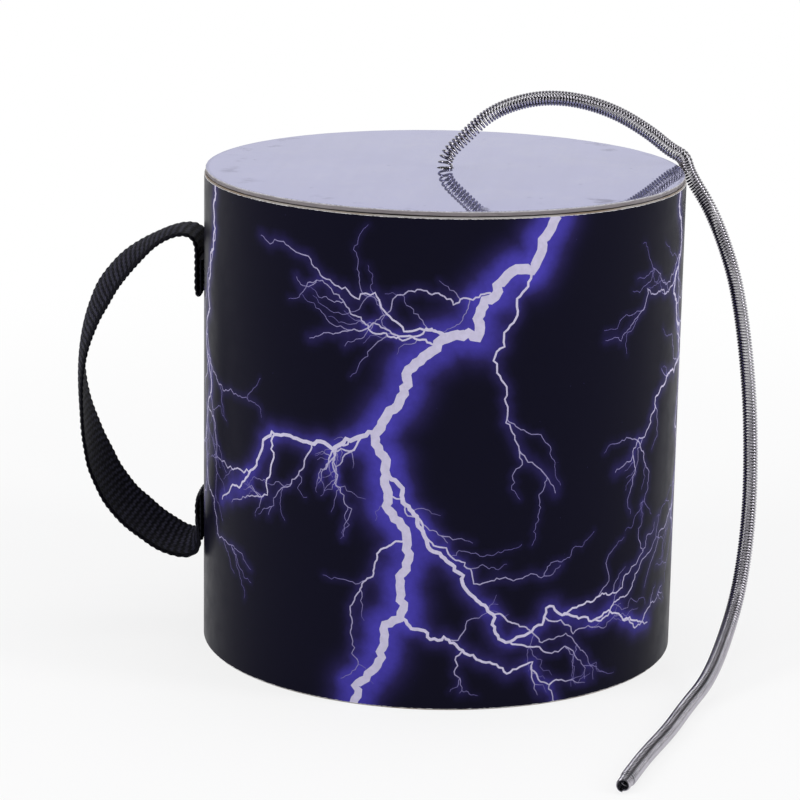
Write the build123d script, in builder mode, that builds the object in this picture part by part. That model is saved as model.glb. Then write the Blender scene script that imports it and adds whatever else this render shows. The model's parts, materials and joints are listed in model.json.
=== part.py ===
"""Thunder tube: a cardboard drum with a film head, a long coil spring hung from the middle of
the film and a webbing handle riveted to the wall.

Millimetres, +Z up. The origin is on the drum's axis, in the plane of the open mouth that it
stands on. The handle is on the -X side, and the spring leaves over the rim on the +X side.
"""

import os
from math import atan2, cos, degrees, pi, sin, sqrt

from build123d import *

# Drum: a spiral-wound tube, its printed paper wrap, the board ring and the film on top of it
DRUM_DIAMETER = 200.0  # over the wrap
SHELL_HEIGHT = 200.0
SHELL_WALL = 5.0
WRAP_PAPER = 0.4
WRAP_TRIM = 0.5  # paper kept back from both ends of the tube
WRAP_LAP = 12.0  # width of the glued overlap at the back
GLUE_LINE = 0.05
RING_THICKNESS = 2.0
RING_WIDTH = 9.0
RING_SETBACK = 0.6  # inside the wrap's outer face
FILM_THICKNESS = 0.25
FILM_SETBACK = 0.1  # inside the ring's edge

# Spring and its anchor behind the film
SPRING_DIAMETER = 6.4
WIRE_DIAMETER = 0.8
WIRE_SIDES = 3  # facets of the wire
CURLS = 42
SPRING_TAIL = 9.0  # length held behind the washer
RIM_BEARING = 18.0  # degrees round from +X to where the spring lies over the rim
HOLE_CLEARANCE = 0.3
ANCHOR_WASHER_DIAMETER = 22.0
ANCHOR_WASHER_THICKNESS = 1.0
PIN_DIAMETER = 1.2
PIN_LENGTH = 14.0
PIN_GAP = 0.2

# Webbing handle: one strap, both ends folded double and riveted to the wall
STRAP_WIDTH = 25.0
STRAP_THICKNESS = 1.6
STRAP_GAP = 0.3
HANDLE_HEIGHT = 101.0  # middle of the loop above the base
LOOP_RISE = 71.0  # where the strap leaves the wall, above and below the loop's middle
WALL_BEND = 5.0
UPPER_TAB_END = 46.5  # folded end of the upper tab, above the loop's middle
LOWER_TAB_END = 42.5  # folded end of the lower tab, below the loop's middle
TAB_RAW_RISE = 61.0  # cut end of the webbing under each tab

# Rivets
RIVET_RISE = 55.5  # from the loop's middle
RIVET_SHANK = 4.0
RIVET_HEAD = 9.0
RIVET_HEAD_HEIGHT = 1.8
RIVET_CROWN = 5.5  # flat top of the head
RIVET_EDGE = 0.5  # thickness at the head's rim
RIVET_UPSET = 6.6
RIVET_UPSET_HEIGHT = 1.0
RIVET_CLEARANCE = 0.1
RIVET_WASHER = 14.0
RIVET_WASHER_THICKNESS = 1.0

# Sizes that follow from those above
wrap_outer = DRUM_DIAMETER / 2
wrap_inner = wrap_outer - WRAP_PAPER
shell_outer = wrap_inner - GLUE_LINE
shell_inner = shell_outer - SHELL_WALL
ring_outer = wrap_outer - RING_SETBACK
ring_top = SHELL_HEIGHT + RING_THICKNESS
film_radius = ring_outer - FILM_SETBACK
head_top = ring_top + FILM_THICKNESS
spring_hole = SPRING_DIAMETER / 2 + HOLE_CLEARANCE
washer_under = ring_top - ANCHOR_WASHER_THICKNESS
pin_height = washer_under - PIN_GAP - PIN_DIAMETER / 2
spring_start = washer_under - SPRING_TAIL
wall_seat = wrap_outer + STRAP_GAP
tab_outer = wall_seat + 2 * STRAP_THICKNESS
rivet_hole = RIVET_SHANK / 2 + RIVET_CLEARANCE
rivet_heights = (HANDLE_HEIGHT + RIVET_RISE, HANDLE_HEIGHT - RIVET_RISE)
rivet_washer_seat = sqrt(shell_inner**2 - (RIVET_WASHER / 2) ** 2) - GLUE_LINE
rivet_washer_inner = rivet_washer_seat - RIVET_WASHER_THICKNESS

# Pattern of the two rivet holes, drawn outside the wall and cut inwards through it
wall_view = Plane(origin=(-tab_outer - SHELL_WALL, 0, 0), x_dir=(0, 1, 0), z_dir=(1, 0, 0))
with BuildSketch(wall_view) as rivet_pattern:
    with Locations(*[(0, height) for height in rivet_heights]):
        Circle(rivet_hole)

# Tube wall, open at the bottom
with BuildPart() as drum_shell:
    with BuildSketch():
        Circle(shell_outer)
        Circle(shell_inner, mode=Mode.SUBTRACT)
    extrude(amount=SHELL_HEIGHT)
    extrude(rivet_pattern.sketch, amount=tab_outer, mode=Mode.SUBTRACT)

# Printed paper round the tube, lapped over itself at the back
with BuildPart() as print_wrap:
    with BuildSketch(Plane.XY.offset(WRAP_TRIM)):
        Circle(wrap_outer + WRAP_PAPER)
        with Locations((0, wrap_outer)):
            Rectangle(WRAP_LAP, DRUM_DIAMETER, mode=Mode.INTERSECT)
        Circle(wrap_outer)
        Circle(wrap_inner, mode=Mode.SUBTRACT)
    extrude(amount=SHELL_HEIGHT - 2 * WRAP_TRIM)
    extrude(rivet_pattern.sketch, amount=tab_outer, mode=Mode.SUBTRACT)

# Board ring on the tube's top edge, which carries the film
with BuildPart() as head_ring:
    with BuildSketch(Plane.XY.offset(SHELL_HEIGHT)):
        Circle(ring_outer)
        Circle(ring_outer - RING_WIDTH, mode=Mode.SUBTRACT)
    extrude(amount=RING_THICKNESS)

# Film glued flat on the ring, pierced in the middle for the spring
with BuildPart() as drumhead_film:
    with BuildSketch(Plane.XY.offset(ring_top)):
        Circle(film_radius)
        Circle(spring_hole, mode=Mode.SUBTRACT)
    extrude(amount=FILM_THICKNESS)

# Washer under the film, which spreads the spring's pull
with BuildPart() as anchor_washer:
    with BuildSketch(Plane.XY.offset(washer_under)):
        Circle(ANCHOR_WASHER_DIAMETER / 2)
        Circle(spring_hole, mode=Mode.SUBTRACT)
    extrude(amount=ANCHOR_WASHER_THICKNESS)


def from_axis(radius, bearing, height):
    """Point at a distance from the drum's axis, on a bearing round from +X."""
    return Vector(radius, 0, height).rotate(Axis.Z, bearing)


# Route of the spring's middle line: up from the anchor, over the rim in an upright plane, down
# outside the wall and along the floor towards -Y. Each stretch is measured from what carries it.
floor_line = SPRING_DIAMETER / 2 + GLUE_LINE
rising = [(0, 5.25), (8, 12.75), (19, 23.25), (36.75, 28.75)]  # out from the axis, up from the film
falling = [(-46, 28.25), (-28, 22.75), (-12.25, 13.5)]  # out from the wrap, up from the film
crossing = [(-2.5, 5.5), (3.5, 2.75), (5.5, -4.25)]  # out from the wrap, up from the film
hanging = [(15, 15.5, -19.5), (21.75, 10.75, -39.5), (25.75, 7.5, -58), (29.75, 2.25, -89.75)]
swooping = [(31.5, -7.75, 83.5), (31.5, -18.25, 60), (29, -30.5, 36.5), (24.25, -45, 20)]
lying = [(17.5, -67, 4.25), (8.5, -90.5, 0), (2.5, -118, 0), (-5.5, -145, 0), (-10.5, -166, 0)]
lying.append((-13.5, -179, 0))  # out from the wrap, along Y, up from the line on the floor
route = [Vector(0, 0, spring_start), Vector(0, 0, washer_under)]
route += [from_axis(out, RIM_BEARING, head_top + up) for out, up in rising]
route += [from_axis(wrap_outer + out, RIM_BEARING, head_top + up) for out, up in falling + crossing]
route += [from_axis(wrap_outer + out, bearing, head_top + up) for out, bearing, up in hanging]
route += [Vector(wrap_outer + out, y, up) for out, y, up in swooping]
route += [Vector(wrap_outer + out, y, floor_line + up) for out, y, up in lying]


def middle_line(points, steps=24):
    """Points along the smooth curve that the route's points draw, each run touched at its middle."""
    line = [points[0]]
    for before, corner, after in zip(points, points[1:], points[2:]):
        first = points[0] if before is points[0] else (before + corner) * 0.5
        last = points[-1] if after is points[-1] else (corner + after) * 0.5
        for step in range(1, steps + 1):
            t = step / steps
            line.append(first * (1 - t) ** 2 + corner * (2 * t * (1 - t)) + last * t**2)
    return line


def carried_frames(line):
    """Length, point, tangent and one normal at each point, the normal carried along unturned."""
    frames = []
    length = 0.0
    normal = Vector(1, 0, 0)
    for i, point in enumerate(line):
        before = line[max(i - 1, 0)]
        after = line[min(i + 1, len(line) - 1)]
        tangent = (after - before).normalized()
        normal = (normal - tangent * normal.dot(tangent)).normalized()
        length += (point - before).length
        frames.append((length, point, tangent, normal))
    return frames


frames = carried_frames(middle_line(route))
spring_length = frames[-1][0]
wire_corner = WIRE_DIAMETER * sqrt(pi / (2 * WIRE_SIDES * sin(2 * pi / WIRE_SIDES)))  # round wire's area
coil_radius = SPRING_DIAMETER / 2 - wire_corner
curl_pitch = spring_length / CURLS


def coil_point(share):
    """Point of the wire's middle at a share of the spring's length."""
    length = share * spring_length
    index = 1
    while index < len(frames) - 1 and frames[index][0] < length:
        index += 1
    before, after = frames[index - 1], frames[index]
    t = (length - before[0]) / (after[0] - before[0])
    centre = before[1] + (after[1] - before[1]) * t
    tangent = (before[2] + (after[2] - before[2]) * t).normalized()
    normal = before[3] + (after[3] - before[3]) * t
    normal = (normal - tangent * normal.dot(tangent)).normalized()
    angle = 2 * pi * CURLS * share
    return centre + (normal * cos(angle) + tangent.cross(normal) * sin(angle)) * coil_radius


def coil_heading(share):
    """Direction of the wire at a share of the spring's length."""
    step = 0.002 / CURLS
    return (coil_point(share + step) - coil_point(share - step)).normalized()


def biarc(start, start_heading, finish, finish_heading):
    """Draw two arcs that leave start and reach finish in the given directions."""
    span = finish - start
    both = start_heading + finish_heading
    spread = 2 * (1 - start_heading.dot(finish_heading))
    along = span.dot(both)
    reach = (sqrt(along**2 + spread * span.dot(span)) - along) / spread
    first_corner = start + start_heading * reach
    last_corner = finish - finish_heading * reach
    join = (first_corner + last_corner) * 0.5
    TangentArc(start, join, tangent=start_heading)
    TangentArc(join, finish, tangent=last_corner - first_corner)


# Spring: one wire wound in half turns along the route, with a short straight end each way
half_turns = 2 * CURLS
end_share = 0.5 / half_turns
shares = [end_share + (1 - 2 * end_share) * i / half_turns for i in range(half_turns + 1)]
stations = [(coil_point(share), coil_heading(share)) for share in shares]
with BuildPart() as spring_coil:
    with BuildLine() as wire_path:
        wire_start = stations[0][0] - stations[0][1] * WIRE_DIAMETER
        Line(wire_start, stations[0][0])
        for (here, heading), (there, next_heading) in zip(stations, stations[1:]):
            biarc(here, heading, there, next_heading)
        Line(stations[-1][0], stations[-1][0] + stations[-1][1] * WIRE_DIAMETER)
    with BuildSketch(Plane(origin=wire_start, z_dir=stations[0][1])):
        RegularPolygon(wire_corner, WIRE_SIDES)
    sweep(path=wire_path.wire(), clean=False)

# Pin across the spring's end, between two curls, which stops it from pulling through
pin_share = (pin_height - spring_start) / spring_length
pin_side = coil_point(pin_share)
pin_angle = degrees(atan2(pin_side.Y, pin_side.X)) + 90
with BuildPart() as anchor_pin:
    with BuildSketch(Plane(origin=(0, 0, pin_height), z_dir=Vector(1, 0, 0).rotate(Axis.Z, pin_angle))):
        Circle(PIN_DIAMETER / 2)
    extrude(amount=PIN_LENGTH / 2, both=True)

# Handle strap: the loop, and both tabs of doubled webbing shaped to the round wall
tab_layer = wall_seat + 1.5 * STRAP_THICKNESS
tab_sink = wall_seat - sqrt(wall_seat**2 - (STRAP_WIDTH / 2) ** 2)
# Corners of the loop from top to bottom: out from the wrap, up from the loop's middle, and bend
loop_corners = [(13, 76.5, 8), (47, 46, 58), (57, 9, 75), (46, -39.5, 45), (21.5, -60.5, 60)]
loop_points = [(-tab_layer, UPPER_TAB_END), (-tab_layer, LOOP_RISE)]
loop_points += [(-wrap_outer - out, rise) for out, rise, _ in loop_corners]
loop_points += [(-tab_layer, -LOOP_RISE), (-tab_layer, -LOWER_TAB_END)]
bends = [WALL_BEND] + [bend for _, _, bend in loop_corners] + [WALL_BEND]
handle_plane = Plane(origin=(0, 0, HANDLE_HEIGHT), x_dir=(1, 0, 0), z_dir=(0, -1, 0))
tab_depth = tab_outer - wall_seat + tab_sink
with BuildPart() as strap:
    with BuildSketch(handle_plane):
        with BuildLine():
            FilletPolyline(*loop_points, radius=bends)
        trace(line_width=STRAP_THICKNESS)
        for side, tab_end in ((1, UPPER_TAB_END), (-1, LOWER_TAB_END)):
            with Locations((tab_depth / 2 - tab_outer, side * (tab_end + TAB_RAW_RISE) / 2)):
                Rectangle(tab_depth, TAB_RAW_RISE - tab_end)
            with Locations((STRAP_THICKNESS - tab_outer, side * tab_end)):
                Circle(STRAP_THICKNESS)
    extrude(amount=STRAP_WIDTH / 2, both=True)
    with BuildSketch():
        Circle(wall_seat)
    extrude(amount=SHELL_HEIGHT, mode=Mode.SUBTRACT)
    extrude(rivet_pattern.sketch, amount=tab_outer, mode=Mode.SUBTRACT)


def rivet(height):
    """A rivet from the tab's face through the wall, spread over the washer inside."""
    head_face = -tab_outer - RIVET_CLEARANCE
    tail = -rivet_washer_inner + RIVET_CLEARANCE
    with BuildPart() as part:
        with BuildSketch(Plane(origin=(0, 0, height), x_dir=(1, 0, 0), z_dir=(0, -1, 0))):
            with BuildLine():
                Polyline(
                    (head_face - RIVET_HEAD_HEIGHT, 0),
                    (head_face - RIVET_HEAD_HEIGHT, RIVET_CROWN / 2),
                    (head_face - RIVET_EDGE, RIVET_HEAD / 2),
                    (head_face, RIVET_HEAD / 2),
                    (head_face, RIVET_SHANK / 2),
                    (tail, RIVET_SHANK / 2),
                    (tail, RIVET_UPSET / 2),
                    (tail + RIVET_UPSET_HEIGHT, RIVET_UPSET / 2),
                    (tail + RIVET_UPSET_HEIGHT, 0),
                    close=True,
                )
            make_face()
        revolve(axis=Axis((0, 0, height), (1, 0, 0)))
    return part.part


def rivet_washer(height):
    """A flat washer whose edge bears on the tube's hollow inner wall."""
    with BuildPart() as part:
        with BuildSketch(Plane(origin=(-rivet_washer_seat, 0, height), z_dir=(1, 0, 0))):
            Circle(RIVET_WASHER / 2)
            Circle(rivet_hole, mode=Mode.SUBTRACT)
        extrude(amount=RIVET_WASHER_THICKNESS)
    return part.part


nodes = {
    "drum_shell": drum_shell.part,
    "print_wrap": print_wrap.part,
    "head_ring": head_ring.part,
    "drumhead_film": drumhead_film.part,
    "anchor_washer": anchor_washer.part,
    "anchor_pin": anchor_pin.part,
    "spring_coil": spring_coil.part,
    "strap": strap.part,
}
for place, height in zip(("upper", "lower"), rivet_heights):
    nodes[f"{place}_rivet"] = rivet(height)
    nodes[f"{place}_rivet_washer"] = rivet_washer(height)

os.makedirs("parts", exist_ok=True)
for name, part in nodes.items():
    part.label = name
    export_step(part, f"parts/{name}.step")


def least_gap(per_curl=16):
    """Smallest clear distance between two curls, measured on points along the wire."""
    count = CURLS * per_curl
    points = [coil_point(i / count) for i in range(1, count)]
    nearest = spring_length
    for i, point in enumerate(points):
        for other in points[i + per_curl * 3 // 4 :]:
            nearest = min(nearest, (point - other).length)
    return nearest - 2 * wire_corner


print(f"spring: {spring_length:.1f} mm long, pitch {curl_pitch:.2f} mm, least gap {least_gap():.2f} mm")
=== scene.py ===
"""Thunder tube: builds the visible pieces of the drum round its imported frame, and a plain studio.

Metres, +Z up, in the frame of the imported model. The drum stands on its open mouth, its handle is on
the -X side, and its spring leaves over the rim on the +X side and ends on the floor in front.
"""

import json
import math
import random

import bpy
import numpy as np
from bpy.props import FloatProperty, FloatVectorProperty, IntProperty, PointerProperty
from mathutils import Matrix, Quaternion, Vector
from mathutils.geometry import delaunay_2d_cdt


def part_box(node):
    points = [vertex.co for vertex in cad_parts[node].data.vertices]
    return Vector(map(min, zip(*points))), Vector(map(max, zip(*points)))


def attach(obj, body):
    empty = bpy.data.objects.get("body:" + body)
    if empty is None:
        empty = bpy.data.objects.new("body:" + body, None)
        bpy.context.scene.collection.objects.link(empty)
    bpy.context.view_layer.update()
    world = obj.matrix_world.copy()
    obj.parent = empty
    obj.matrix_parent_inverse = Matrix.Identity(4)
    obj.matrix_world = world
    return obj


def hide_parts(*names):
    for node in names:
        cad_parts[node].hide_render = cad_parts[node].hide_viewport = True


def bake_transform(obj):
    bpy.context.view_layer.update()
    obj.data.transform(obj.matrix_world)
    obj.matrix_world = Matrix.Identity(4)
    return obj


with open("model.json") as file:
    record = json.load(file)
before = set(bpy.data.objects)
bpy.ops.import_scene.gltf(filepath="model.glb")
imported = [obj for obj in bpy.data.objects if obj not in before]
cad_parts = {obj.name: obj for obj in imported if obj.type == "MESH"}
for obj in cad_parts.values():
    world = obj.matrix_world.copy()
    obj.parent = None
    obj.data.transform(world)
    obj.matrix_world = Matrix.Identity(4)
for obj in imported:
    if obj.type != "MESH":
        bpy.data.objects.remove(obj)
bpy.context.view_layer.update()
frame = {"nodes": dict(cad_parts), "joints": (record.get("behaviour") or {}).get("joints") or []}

bl_info = {
    "name": "Thunder Tube",
    "version": (1, 0, 0),
    "blender": (4, 5, 0),
    "location": "3D View > Sidebar > Thunder Tube",
    "description": "Builds the visible pieces of a thunder tube round its packed frame",
    "category": "Object",
}

MM = 0.001
WHITE = (1.0, 1.0, 1.0, 1.0)

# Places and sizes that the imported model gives
TUBE_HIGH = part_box("drum_shell")[1]
WRAP_LOW, WRAP_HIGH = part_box("print_wrap")
RING_LOW, RING_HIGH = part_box("head_ring")
FILM_LOW, FILM_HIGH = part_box("drumhead_film")
UPPER_RIVET_LOW, UPPER_RIVET_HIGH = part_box("upper_rivet")
LOWER_RIVET_LOW, LOWER_RIVET_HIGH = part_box("lower_rivet")
TUBE_RADIUS = TUBE_HIGH.x
WRAP_RADIUS = WRAP_HIGH.x
RING_RADIUS = RING_HIGH.x
FILM_RADIUS = FILM_HIGH.x
HANDLE_MIDDLE = next(joint["pos_m"][2] for joint in frame["joints"] if joint["name"] == "handle_swing")
UPPER_RIVET = (UPPER_RIVET_LOW + UPPER_RIVET_HIGH) / 2
LOWER_RIVET = (LOWER_RIVET_LOW + LOWER_RIVET_HIGH) / 2

# Control points of the spring's middle line, in millimetres
SPRING_ROUTE = [
    (0, 0, 192), (0, 0, 201), (0, 0, 207.5), (7.61, 2.47, 215), (18.07, 5.87, 225.5), (34.95, 11.36, 231),
    (51.36, 16.69, 230.5), (68.48, 22.25, 225), (83.46, 27.12, 215.75), (92.73, 30.13, 207.75),
    (98.43, 31.98, 205), (100.34, 32.6, 198), (110.82, 30.73, 182.75), (119.61, 22.71, 162.75),
    (124.67, 16.41, 144.25), (129.65, 5.09, 112.5), (131.5, -7.75, 83.5), (131.5, -18.25, 60),
    (129, -30.5, 36.5), (124.25, -45, 20), (117.5, -67, 7.5), (108.5, -90.5, 3.25), (102.5, -118, 3.25),
    (94.5, -145, 3.25), (89.5, -166, 3.25), (86.5, -179, 3.25),
]

# Distance between turns along the spring: millimetres from its hidden end, and the pitch there
SPRING_PITCH = [
    (0, 2.4), (5, 4.2), (10, 4.2), (13, 1.85), (33, 1.75), (40, 1.34), (80, 1.32), (120, 1.29), (160, 1.21),
    (200, 1.23), (240, 1.28), (280, 1.24), (320, 1.14), (395, 1.3), (425, 1.4), (455, 1.47), (484, 1.48),
]

# Middle line of the webbing from its upper cut end to its lower one: millimetres along X, and above
# the height that the loop swings about
STRAP_ROUTE = [
    (-101.35, 61), (-101.35, 52), (-101.35, 45.8), (-103.35, 45.8), (-103.35, 55), (-103.35, 72.3),
    (-119, 70.8), (-145.3, 47.7), (-157.7, 8.9), (-145.6, -41.4), (-120, -63.5), (-105.5, -67.5),
    (-103.35, -58), (-103.35, -45), (-101.35, -40), (-101.35, -52), (-101.35, -61),
]

# Twist of the webbing: millimetres from its upper cut end, and degrees
STRAP_TWIST = [
    (46, 0), (58, -4.3), (72, -15.8), (92, -22.4), (116, -15.2), (142, -5.5), (168, 12.3), (194, 19),
    (214, 17), (228, 12), (242, 0),
]

# Webbing: how far from the wall it starts to curl, and over what distance it gets its full curl
CURL_START = 4 * MM
CURL_RUN = 14 * MM

# Rivets: height of the head's space, and of the dome in it
RIVET_HEAD = 1.8 * MM
RIVET_DOME = 1.5 * MM

# Lamps: name, setting that holds the power, place, and width and height, in metres
LAMPS = (
    ("Key lamp", "key", (-1.2, -0.9, 1.15), (0.7, 0.9)),
    ("Fill lamp", "fill", (1.4, -0.35, 0.8), (0.35, 1.1)),
    ("Top lamp", "top", (0.1, 0.25, 1.6), (0.8, 0.8)),
)

# Strokes of the print from the top edge to the bottom one: angle from the drum's front where each
# starts, its height there, the same for its end, its width, and how many forks it throws. Degrees,
# to the right positive, and millimetres.
STROKES = [
    (31, 200, -14, 0, 4.2, 6),
    (-63, 200, -76, 60, 1.5, 7),
    (78, 200, 88, 40, 1.6, 8),
    (146, 200, 172, 0, 4.0, 8),
    (-118, 200, -160, 10, 2.2, 9),
]

# Branches: the stroke that each leaves, its height there, then its end, width and forks as above
BRANCHES = [
    (0, 96, 66, 22, 1.9, 7),
    (0, 118, -58, 70, 2.0, 8),
    (0, 38, 34, 0, 1.5, 4),
    (0, 150, -30, 172, 0.9, 5),
    (2, 128, 50, 92, 1.1, 7),
    (3, 110, 118, 20, 1.8, 7),
    (4, 96, -96, 30, 1.6, 7),
]


def length(name, description, default):
    """A length that a user can change, in metres."""
    return FloatProperty(name=name, description=description, default=default, unit="LENGTH", precision=5)


def number(name, description, default):
    """A plain number that a user can change."""
    return FloatProperty(name=name, description=description, default=default)


def angle(name, description, default):
    """An angle that a user can change, given in degrees and held in radians."""
    return FloatProperty(
        name=name, description=description, default=math.radians(default), subtype="ANGLE"
    )


def count(name, description, default):
    """A whole number that a user can change."""
    return IntProperty(name=name, description=description, default=default)


def colour(name, description, *default):
    """A colour that a user can change."""
    return FloatVectorProperty(
        name=name, description=description, default=default, size=3, subtype="COLOR", min=0, max=1
    )


class TubeSettings(bpy.types.PropertyGroup):
    """Raw board of the tube."""

    board: colour("Board", "Colour of the raw board", 0.36, 0.245, 0.145)
    board_dark: colour("Dark fibre", "Colour of the darker fibres", 0.24, 0.155, 0.09)
    seam: colour("Seam", "Colour of the gap between two windings", 0.10, 0.062, 0.036)
    seam_climb: length("Seam climb", "How far the winding climbs in one turn", 122 * MM)
    ply: length("Ply", "Thickness of one layer of board", 0.7 * MM)
    liner: colour("Liner", "Colour of the outermost layer of paper", 0.5, 0.485, 0.48)
    liner_depth: length("Liner depth", "Thickness of the outermost layer of paper", 0.6 * MM)


class PrintSettings(bpy.types.PropertyGroup):
    """Printed paper round the tube."""

    ground: colour("Ground", "Colour of the night sky", 0.006, 0.0056, 0.0145)
    dusk: colour("Dusk", "Colour of the glow's outer part", 0.022, 0.017, 0.085)
    glow: colour("Glow", "Colour beside a bolt", 0.075, 0.058, 0.46)
    bolt: colour("Bolt", "Colour of a broad bolt", 0.64, 0.60, 0.79)
    twig: colour("Twig", "Colour of the thinnest forks", 0.105, 0.085, 0.30)
    paper: colour("Paper", "Colour of the paper's cut edge", 0.78, 0.77, 0.78)
    thickness: length("Thickness", "Thickness of the paper", 0.4 * MM)
    lap: length("Lap", "Width of the overlap at the back", 12 * MM)
    mesh_step: length("Mesh step", "Distance between points of the sheet", 2.4 * MM)
    seed: count("Seed", "Start of the random draws that shape the bolts", 11)


class HeadSettings(bpy.types.PropertyGroup):
    """Board ring and film."""

    film: colour("Film", "Colour of the film", 0.37, 0.375, 0.585)
    smudge: colour("Smudge", "Colour of the glue marks under the film", 0.2, 0.2, 0.33)
    film_edge: colour("Film edge", "Colour of the film's cut edge", 0.66, 0.65, 0.72)
    ring: colour("Ring", "Colour of the ring's board", 0.25, 0.225, 0.235)
    # Painted highlight: this pale colour is laid along the ring's top edge to stand for light catching it
    ring_light: colour("Ring fibre", "Colour of the ring's pale fibres", 0.5, 0.485, 0.5)
    shadow: colour("Gap", "Colour inside the gap under the ring", 0.02, 0.018, 0.018)
    groove: length("Groove", "Depth of the gap under the ring's edge", 1.0 * MM)
    ring_width: length("Ring width", "Width of the ring's flat face", 9 * MM)
    hole: length("Hole", "Radius of the hole in the film's middle", 3.5 * MM)


class SpringSettings(bpy.types.PropertyGroup):
    """Coil spring."""

    steel: colour("Steel", "Colour of the wire", 0.53, 0.512, 0.56)
    # Painted shade: this dark colour stands for the shade on the inside of the coil, where the turns lie
    # close
    inside: colour("Inside", "Colour of the wire on the inside of the coil", 0.04, 0.04, 0.05)
    diameter: length("Diameter", "Outside diameter of the coil", 6.4 * MM)
    wire: length("Wire", "Thickness of the wire", 1.0 * MM)
    turn_steps: count("Steps a turn", "Points of the wire in one turn", 20)
    sides: count("Sides", "Faces round the wire", 8)
    end_turns: number("End turns", "Turns of the narrow end", 4.6)
    end_share: number("End share", "Diameter of the narrow end, as a share of the coil's", 0.82)


class StrapSettings(bpy.types.PropertyGroup):
    """Webbing handle."""

    yarn: colour("Yarn", "Colour of the webbing", 0.0035, 0.0035, 0.0055)
    # Rib tops: this paler colour is partly rubbed yarn and partly a painted highlight
    yarn_worn_and_highlight: colour("Worn yarn", "Colour of the rubbed tops of the ribs", 0.036, 0.035, 0.06)
    width: length("Width", "Width of the webbing", 25 * MM)
    thickness: length("Thickness", "Thickness of the webbing", 1.95 * MM)
    rib: length("Rib", "Distance between ribs", 2.7 * MM)
    relief: length("Relief", "Height of the ribs", 0.46 * MM)
    ends: count("Ends", "Bundles of yarn across the webbing", 14)
    twist: number("Twist", "How much of the loop's twist is given", 1.0)
    cup: length("Cup", "How far the webbing's edges curl", 1.2 * MM)


class MetalSettings(bpy.types.PropertyGroup):
    """Rivets, washers and the anchor's pin."""

    plating: colour("Plating", "Colour of the plated steel", 0.56, 0.56, 0.57)


class StageSettings(bpy.types.PropertyGroup):
    """Floor, light and camera."""

    floor: colour("Floor", "Colour of the floor", 0.86, 0.86, 0.87)
    room: number("Room", "Brightness of the room over the backdrop, as metal shows it", 0.07)
    near_room: number("Near room", "Brightness of the room behind the camera, as metal shows it", 0.06)
    side_room: number("Side room", "Brightness of the room at both sides, as metal shows it", 0.3)
    ambient: number("Ambient", "Light from all round", 0.5)
    key: number("Key", "Power of the lamp on the left, in watts", 11.0)
    fill: number("Fill", "Power of the lamp on the right, in watts", 9.0)
    top: number("Top", "Power of the lamp above, in watts", 5.0)
    azimuth: angle("Azimuth", "Camera's turn round the drum", 5.0)
    elevation: angle("Elevation", "Camera's height above the horizon", 14.198)
    roll: angle("Roll", "Turn of the camera about its view", 0.988)
    distance: length("Distance", "From the camera to the middle of the drum", 1274 * MM)
    aside: length("Aside", "How far left of the drum's middle the camera aims", 17.18 * MM)
    above: length("Above", "How far above the drum's middle the camera aims", 1.2 * MM)
    lens: FloatProperty(
        name="Lens", description="Focal length on a 36 mm sensor", default=135.3, unit="CAMERA"
    )


class ThunderTubeSettings(bpy.types.PropertyGroup):
    """All settings of the thunder tube."""

    tube: PointerProperty(type=TubeSettings)
    wrap: PointerProperty(type=PrintSettings)
    head: PointerProperty(type=HeadSettings)
    spring: PointerProperty(type=SpringSettings)
    strap: PointerProperty(type=StrapSettings)
    metal: PointerProperty(type=MetalSettings)
    stage: PointerProperty(type=StageSettings)


# Meshes


def new_piece(name, points, faces, *finishes):
    """A smooth mesh object in the scene, with its finishes in its slots."""
    mesh = bpy.data.meshes.new(name)
    mesh.from_pydata(np.asarray(points).tolist(), [], faces)
    for finish in finishes:
        mesh.materials.append(finish)
    mesh.validate()
    mesh.shade_smooth()
    mesh.set_sharp_from_angle(angle=math.radians(40))
    made = bpy.data.objects.new(name, mesh)
    bpy.context.scene.collection.objects.link(made)
    return made


def grid_faces(rows, columns, round_rows=False, round_columns=False):
    """Quads of a grid whose points are stored row after row, closed round where asked."""
    faces = []
    for row in range(rows if round_rows else rows - 1):
        here = row * columns
        there = (row + 1) % rows * columns
        for column in range(columns if round_columns else columns - 1):
            after = (column + 1) % columns
            faces.append((here + column, here + after, there + after, there + column))
    return faces


def end_faces(rows, columns):
    """Faces that close both ends of a tube whose rows run round it."""
    last = (rows - 1) * columns
    return [tuple(reversed(range(columns))), tuple(range(last, last + columns))]


def unit(vectors):
    """The same directions, each of length 1."""
    return vectors / np.linalg.norm(vectors, axis=-1, keepdims=True)


def smooth_line(points):
    """Points along the NURBS spline that has these control points, in millimetres."""
    curve = bpy.data.curves.new("line", "CURVE")
    curve.dimensions = "3D"
    spline = curve.splines.new("NURBS")
    spline.points.add(len(points) - 1)
    for knot, point in zip(spline.points, points):
        knot.co = (*(Vector(point) * MM), 1.0)
    spline.order_u = 3
    spline.use_endpoint_u = True
    spline.resolution_u = 32
    carrier = bpy.data.objects.new("line", curve)
    line = bpy.data.meshes.new_from_object(carrier)
    found = np.array([vertex.co for vertex in line.vertices])
    bpy.data.objects.remove(carrier)
    bpy.data.curves.remove(curve)
    bpy.data.meshes.remove(line)
    return found


def carried_frames(line, first_side):
    """Length so far, heading and a side carried along unturned, at each point of a line."""
    steps = np.linalg.norm(np.diff(line, axis=0), axis=1)
    reach = np.concatenate([[0.0], np.cumsum(steps)])
    heading = unit(np.gradient(line, reach, axis=0))
    sides = []
    side = np.array(first_side, float)
    for ahead in heading:
        side = unit(side - ahead * side.dot(ahead))
        sides.append(side)
    return reach, heading, np.array(sides)


def at_lengths(wanted, reach, values):
    """Values along a line, read at other lengths."""
    return np.stack([np.interp(wanted, reach, column) for column in values.T], axis=1)


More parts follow.
